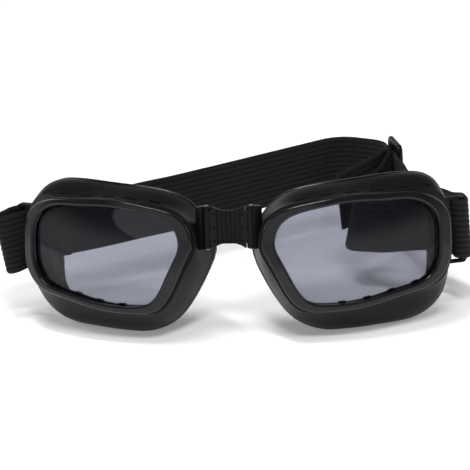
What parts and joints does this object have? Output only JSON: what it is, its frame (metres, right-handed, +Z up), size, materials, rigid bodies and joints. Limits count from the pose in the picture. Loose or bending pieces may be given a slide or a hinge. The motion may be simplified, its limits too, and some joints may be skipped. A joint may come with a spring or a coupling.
{
  "type": "folding flying goggles",
  "caption": "Folding eye goggles: two moulded cups with smoked curved lenses, a ribbed rubber nose bridge, face foam and an elastic strap with a slider.",
  "frame": {"origin": "middle of the underside of the part's bounding box", "axes": "+X to the right as seen from in front of the lenses, +Y from the lenses towards the back of the head, +Z up"},
  "size_m": [0.1988, 0.1406, 0.0602],
  "materials": {
    "cup_plastic": "satin",
    "bezel_plastic": "gloss",
    "lens_smoke": "polished, smoked, see-through",
    "face_foam": "matte open-cell foam",
    "bridge_rubber": "satin",
    "strap_webbing": "ribbed elastic webbing",
    "slider_plastic": "satin",
    "pin_steel": "drawn"
  },
  "bodies": {
    "bridge": {"nose_bridge": "bridge_rubber", "elastic_strap": "strap_webbing"},
    "left_cup": {"left_frame": "cup_plastic", "left_bezel": "bezel_plastic", "left_lens": "lens_smoke", "left_foam": "face_foam", "left_hinge_pin": "pin_steel"},
    "right_cup": {"right_frame": "cup_plastic", "right_bezel": "bezel_plastic", "right_lens": "lens_smoke", "right_foam": "face_foam", "right_hinge_pin": "pin_steel"},
    "slider": {"strap_slider": "slider_plastic"}
  },
  "joints": [
    {"name": "left_fold", "type": "hinge", "parent": "bridge", "child": "left_cup", "pos_m": [-0.00603, -0.05381, 0.0543], "axis": [0, 0.2079, 0.9781], "range_deg": [-12, 75], "stiffness_Nm_per_rad": 0.02, "deforming": ["elastic_strap"]},
    {"name": "right_fold", "type": "hinge", "parent": "bridge", "child": "right_cup", "pos_m": [0.01237, -0.05381, 0.0543], "axis": [0, -0.2079, -0.9781], "range_deg": [-12, 75], "stiffness_Nm_per_rad": 0.02, "deforming": ["elastic_strap"]},
    {"name": "strap_adjust", "type": "slide", "parent": "bridge", "child": "slider", "axis": [0.2924, -0.9563, 0], "range_m": [-0.01, 0.01], "deforming": ["elastic_strap"]}
  ]
}
